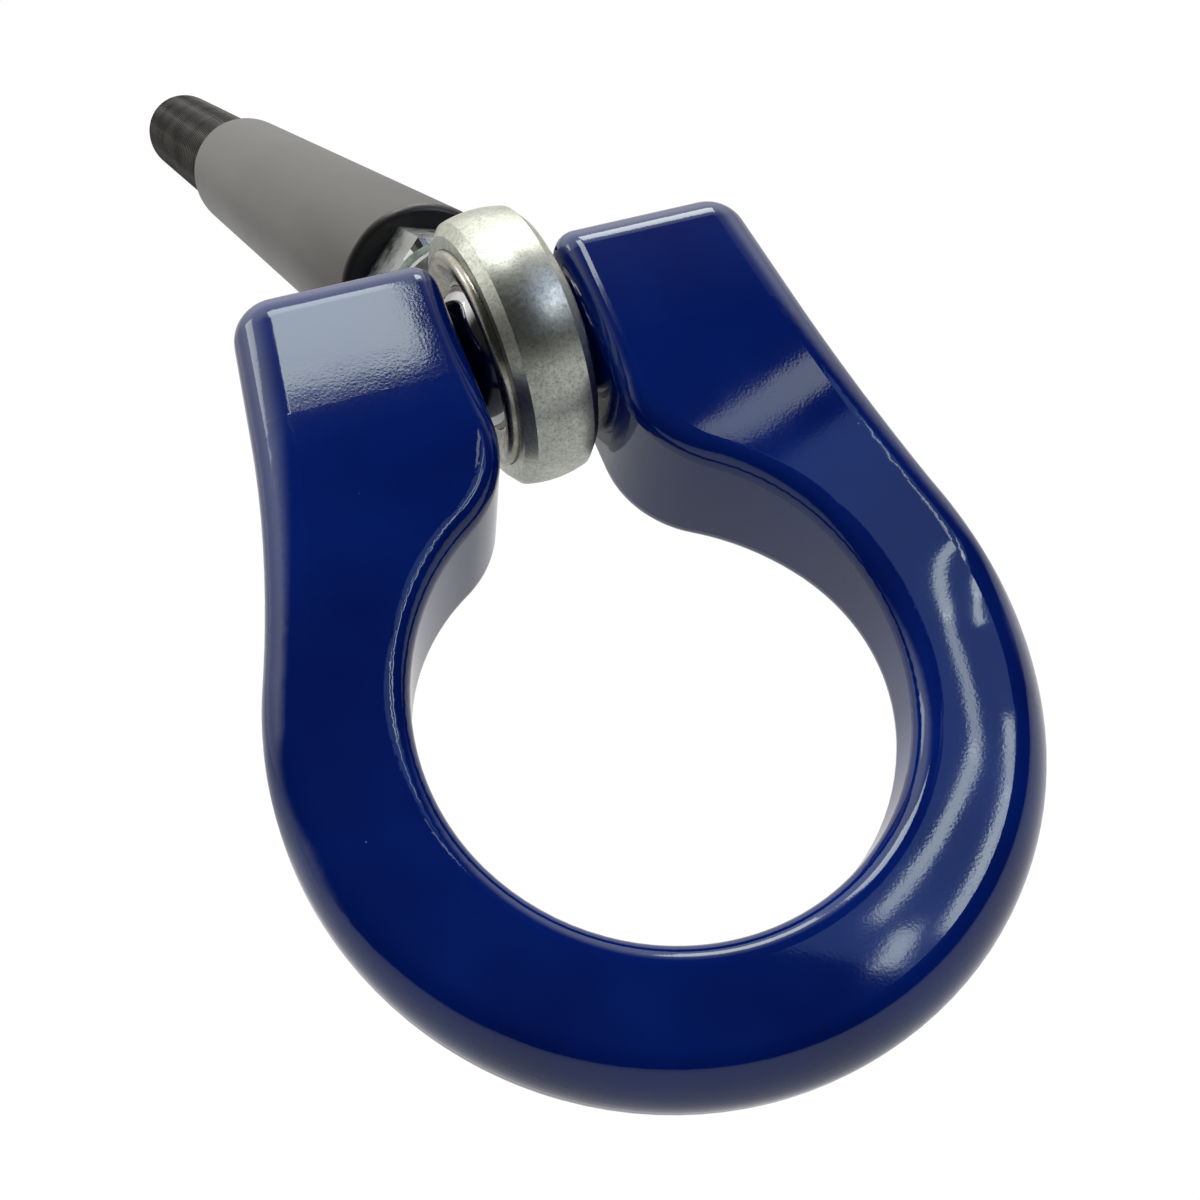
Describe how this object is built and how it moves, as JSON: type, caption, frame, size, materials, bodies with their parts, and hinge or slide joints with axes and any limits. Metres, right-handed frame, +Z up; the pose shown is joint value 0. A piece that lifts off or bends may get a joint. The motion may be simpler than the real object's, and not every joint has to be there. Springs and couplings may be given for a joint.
{
  "type": "tow eye",
  "caption": "Screw-in tow eye: a coated ring with thick ears, pinned to the ball of a rod end that a jam nut locks into a long threaded shaft.",
  "frame": {"origin": "on the shaft axis, at the shoulder where the threaded end begins", "axes": "+Y along the shaft, out of its threaded end and into the vehicle; +Z up; +X to the right when the ring is looked at from outside the vehicle"},
  "size_m": [0.08, 0.3424, 0.0724],
  "materials": {
    "black_steel": "satin",
    "zinc_steel": "satin",
    "race_steel": "satin",
    "ball_chrome": "polished",
    "pin_steel": "satin",
    "blue_coat": "gloss"
  },
  "bodies": {
    "shaft": {"shaft": "black_steel", "jam_nut": "zinc_steel", "rod_end": "zinc_steel", "race": "race_steel"},
    "ball": {"ball": "ball_chrome"},
    "eye": {"tow_ring": "blue_coat", "pivot_pin": "pin_steel"}
  },
  "joints": [
    {"name": "ball_tilt", "type": "hinge", "parent": "shaft", "child": "ball", "pos_m": [0, -0.1725, 0], "axis": [0, 0, 1], "range_deg": [-1.8, 7]},
    {"name": "eye_swing", "type": "hinge", "parent": "ball", "child": "eye", "pos_m": [0, -0.1725, 0], "axis": [0.9969, -0.0523, -0.0592], "range_deg": [-146, 68]}
  ]
}
